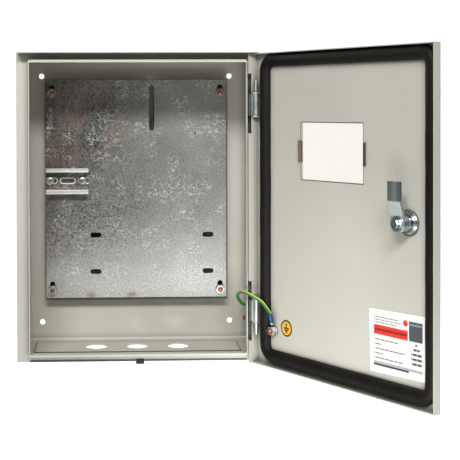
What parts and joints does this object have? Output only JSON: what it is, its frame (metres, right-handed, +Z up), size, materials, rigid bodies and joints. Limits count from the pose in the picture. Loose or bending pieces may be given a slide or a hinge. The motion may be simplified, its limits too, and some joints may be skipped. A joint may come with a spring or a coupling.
{
  "type": "metering enclosure",
  "caption": "Shallow wall-mounted sheet-steel enclosure with an open hinged door, viewing window, cam lock, mounting plate, short device rail and floor cable entries.",
  "frame": {"origin": "centre of the four wall-fixing holes on the outer face of the back wall", "axes": "+Z up, +X right seen from the front, +Y into the wall"},
  "size_m": [0.4684, 0.4073, 0.3986],
  "materials": {
    "paint": "satin",
    "zinc_sheet": "galvanised",
    "zinc_hardware": "zinc plated",
    "bright_metal": "polished",
    "copper_stud": "copper plated",
    "black_rubber": "matte",
    "foam_gasket": "matte foam",
    "clear_pane": "clear",
    "clip": "satin",
    "wire_green_yellow": "green with yellow stripe",
    "sleeve_blue": "satin",
    "sticker_yellow": "printed film",
    "label_white": "printed film"
  },
  "bodies": {
    "cabinet": {"cabinet_body": "paint", "cabinet_earth_nut": "zinc_hardware", "cabinet_earth_stud": "copper_stud", "cabinet_earth_washer": "zinc_hardware", "cabinet_ring_terminal": "zinc_hardware", "cabinet_terminal_sleeve": "sleeve_blue", "cable_entry_plate": "paint", "din_rail": "zinc_sheet", "din_rail_screws": "zinc_hardware", "drain_plug": "black_rubber", "earth_wire": "wire_green_yellow", "hinge_leaf_lower": "zinc_hardware", "hinge_leaf_upper": "zinc_hardware", "mounting_plate": "zinc_sheet", "plate_backing_nuts": "zinc_hardware", "plate_nuts": "zinc_hardware", "plate_studs": "copper_stud", "plate_washers": "zinc_hardware"},
    "door": {"door_panel": "paint", "door_hinge_bracket_upper": "paint", "door_hinge_bracket_lower": "paint", "hinge_pin_upper": "zinc_hardware", "hinge_pin_lower": "zinc_hardware", "door_gasket": "foam_gasket", "window_pane": "clear_pane", "window_clip_hinge_side": "clip", "window_clip_lock_side": "clip", "lock_housing": "bright_metal", "lock_seal": "black_rubber", "lock_nut": "zinc_hardware", "door_earth_stud": "copper_stud", "door_earth_washer": "zinc_hardware", "door_earth_nut": "zinc_hardware", "door_ring_terminal": "zinc_hardware", "door_terminal_sleeve": "sleeve_blue", "earth_sticker": "sticker_yellow", "data_label": "label_white"},
    "lock": {"lock_spindle": "bright_metal", "lock_cam": "zinc_hardware", "cam_washer": "bright_metal", "cam_bolt": "bright_metal"}
  },
  "joints": [
    {"name": "door_hinge", "type": "hinge", "parent": "cabinet", "child": "door", "pos_m": [0.1495, -0.1524, 0], "axis": [0, 0, 1], "range_deg": [-122, 6], "deforming": ["earth_wire"]},
    {"name": "lock_turn", "type": "hinge", "parent": "door", "child": "lock", "pos_m": [0.29081, -0.3642, 0.0015], "axis": [0.848, 0.5299, 0], "range_deg": [0, 90]}
  ]
}
